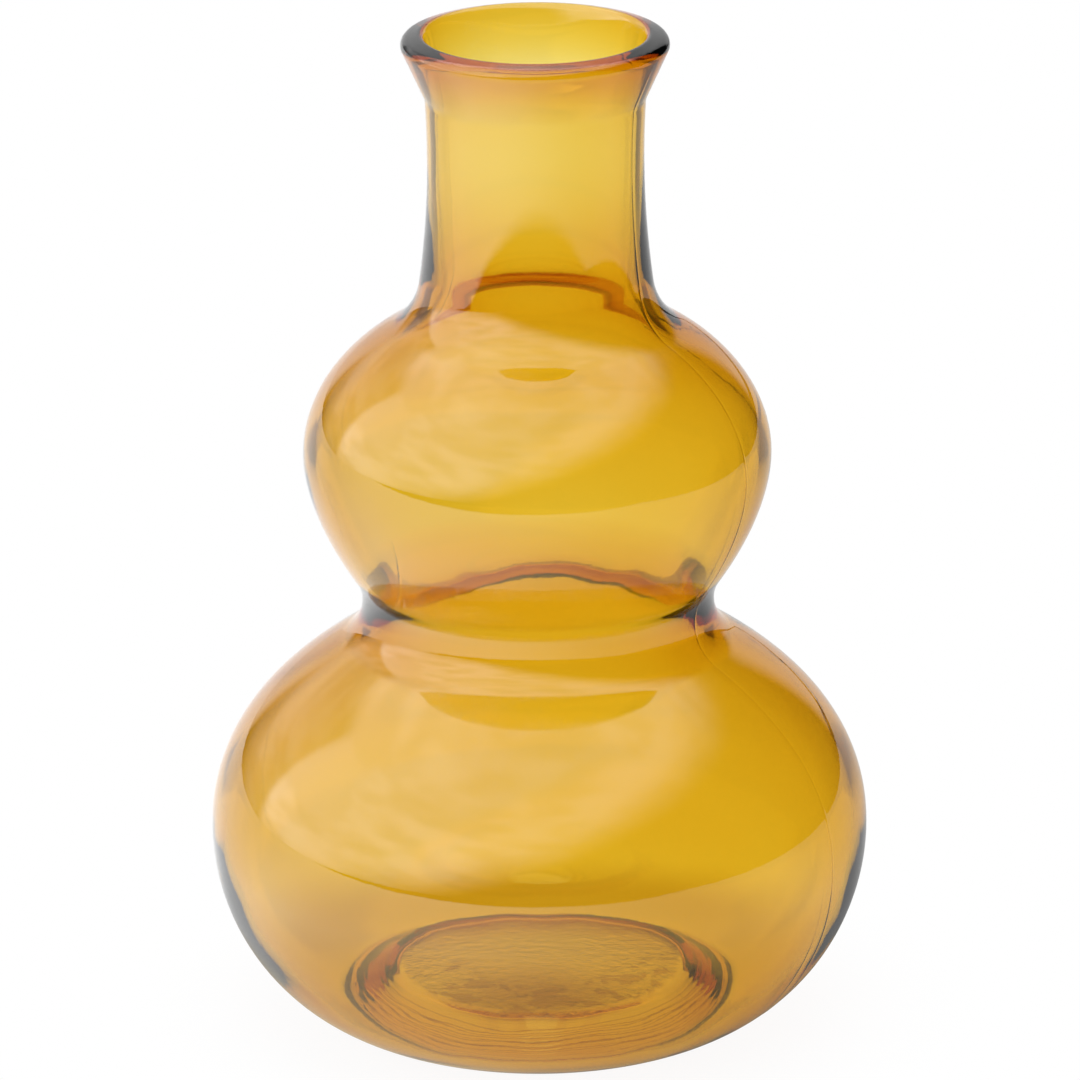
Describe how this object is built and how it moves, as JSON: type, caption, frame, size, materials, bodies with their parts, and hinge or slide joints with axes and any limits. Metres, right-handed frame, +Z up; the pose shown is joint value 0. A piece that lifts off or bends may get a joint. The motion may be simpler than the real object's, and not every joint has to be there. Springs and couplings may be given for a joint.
{
  "type": "gourd vase",
  "caption": "Blown glass vase shaped like a gourd: two round bulbs with a waist between them, a straight neck and a flared mouth.",
  "frame": {"origin": "centre of the foot, on the surface that the vase stands on", "axes": "+Z up along the vase's axis of revolution; the picture looks along +Y"},
  "size_m": [0.1616, 0.1616, 0.2499],
  "materials": {
    "amber_glass": "clear amber, fire-polished gloss"
  },
  "bodies": {
    "root": {"glass_body": "amber_glass"}
  },
  "joints": []
}
